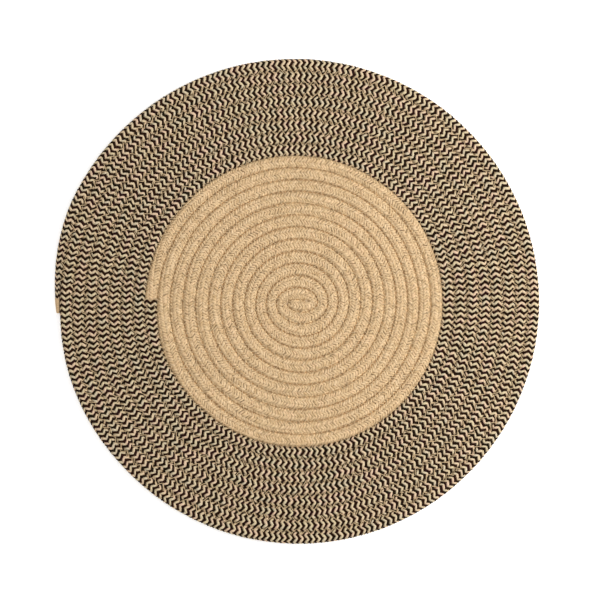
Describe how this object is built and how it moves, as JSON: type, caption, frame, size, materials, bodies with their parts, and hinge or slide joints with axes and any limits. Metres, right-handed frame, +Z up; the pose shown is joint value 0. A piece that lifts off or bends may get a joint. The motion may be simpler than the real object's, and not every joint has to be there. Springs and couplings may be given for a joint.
{
  "type": "placemat",
  "caption": "Round flat placemat of braided cotton cord wound in a spiral, plain in the middle and two-tone to the rim, sewn turn to turn.",
  "frame": {"origin": "middle of the mat's bounding box, on its flat underside", "axes": "+Z up out of the upper side; +X away from the joint between the two cords and from the outer end; the spiral opens counter-clockwise from above"},
  "size_m": [0.38, 0.3802, 0.0065],
  "materials": {
    "plain_cotton": "matt braided cotton cord, sandy tan",
    "two_tone_cotton": "matt braided cotton cord, dark brown and beige yarns in zigzags"
  },
  "bodies": {
    "root": {"centre_cord": "plain_cotton", "rim_cord": "two_tone_cotton"}
  },
  "joints": []
}
